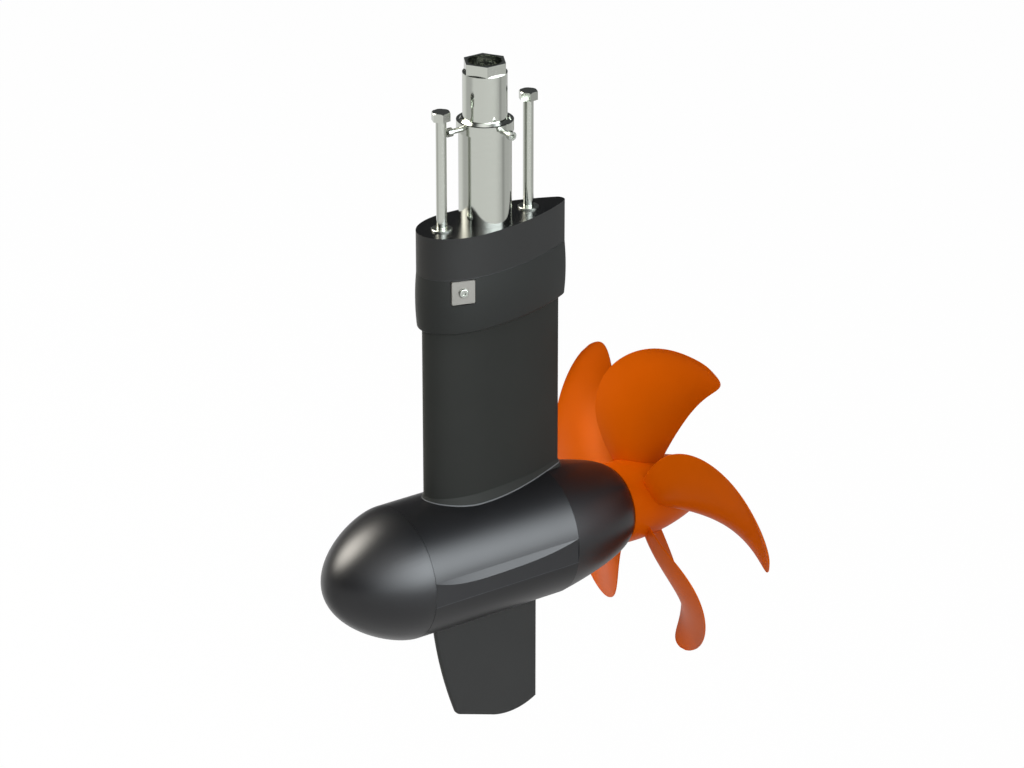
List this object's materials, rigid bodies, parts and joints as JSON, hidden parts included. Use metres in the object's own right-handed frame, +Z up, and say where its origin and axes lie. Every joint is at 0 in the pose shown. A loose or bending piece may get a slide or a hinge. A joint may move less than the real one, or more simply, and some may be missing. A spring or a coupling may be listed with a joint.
{
  "type": "electric pod outboard motor",
  "caption": "Fixed electric pod drive: faired leg under a hull collar with a clamped stem and hull bolts, torpedo-shaped motor pod with a fin below and a skewed pusher propeller.",
  "frame": {"origin": "on the stem's axis, at the collar's flat top face, where the hull rests", "axes": "+Z up along the stem, +X aft towards the propeller, +Y to starboard"},
  "size_m": [0.4245, 0.3158, 0.6842],
  "materials": {
    "polished_steel": "polished",
    "inner_steel": "machined",
    "collar_plastic": "satin black",
    "leg_paint": "satin black coating",
    "pod_paint": "black enamel",
    "fin_plastic": "satin black",
    "anode_metal": "cast",
    "insert_brass": "machined",
    "seal_rubber": "moulded",
    "propeller_plastic": "satin orange",
    "copper": "enamelled wire",
    "core_steel": "laminated",
    "magnet": "sintered",
    "light_metal": "machined",
    "board": "lacquered",
    "capacitor_sleeve": "shrink sleeve"
  },
  "bodies": {
    "pod": {"anode_screws": "polished_steel", "anodes": "anode_metal", "bearing_circlip": "inner_steel", "board_standoffs": "light_metal", "cable_gland": "seal_rubber", "capacitors": "capacitor_sleeve", "clamp_ring": "polished_steel", "clamp_screws": "polished_steel", "collar_gasket": "seal_rubber", "controller_board": "board", "end_plate": "light_metal", "end_plate_screws": "inner_steel", "fin": "fin_plastic", "fin_screws": "inner_steel", "foot_gasket": "seal_rubber", "front_bearing": "inner_steel", "heat_sink": "light_metal", "hull_bolts": "polished_steel", "hull_washers": "polished_steel", "inner_tube": "polished_steel", "leg": "leg_paint", "leg_screws": "inner_steel", "lower_collar": "collar_plastic", "motor_housing": "pod_paint", "nose_cone": "pod_paint", "nose_seal": "seal_rubber", "outer_tube": "polished_steel", "rear_bearing": "inner_steel", "rear_cover": "pod_paint", "rear_seal": "seal_rubber", "shaft_seals": "seal_rubber", "stator_core": "core_steel", "stator_windings": "copper", "stem_floor_screws": "inner_steel", "stem_seal": "seal_rubber", "threaded_inserts": "insert_brass", "upper_collar": "collar_plastic"},
    "propeller": {"drive_pin": "inner_steel", "drive_shaft": "inner_steel", "propeller": "propeller_plastic", "propeller_nut": "inner_steel", "propeller_washer": "inner_steel", "rotor_core": "core_steel", "rotor_magnets": "magnet", "thrust_washer": "inner_steel"}
  },
  "joints": [
    {"name": "propeller_spin", "type": "hinge", "parent": "pod", "child": "propeller", "pos_m": [0.19, 0, -0.338], "axis": [1, 0, 0], "continuous": true}
  ]
}
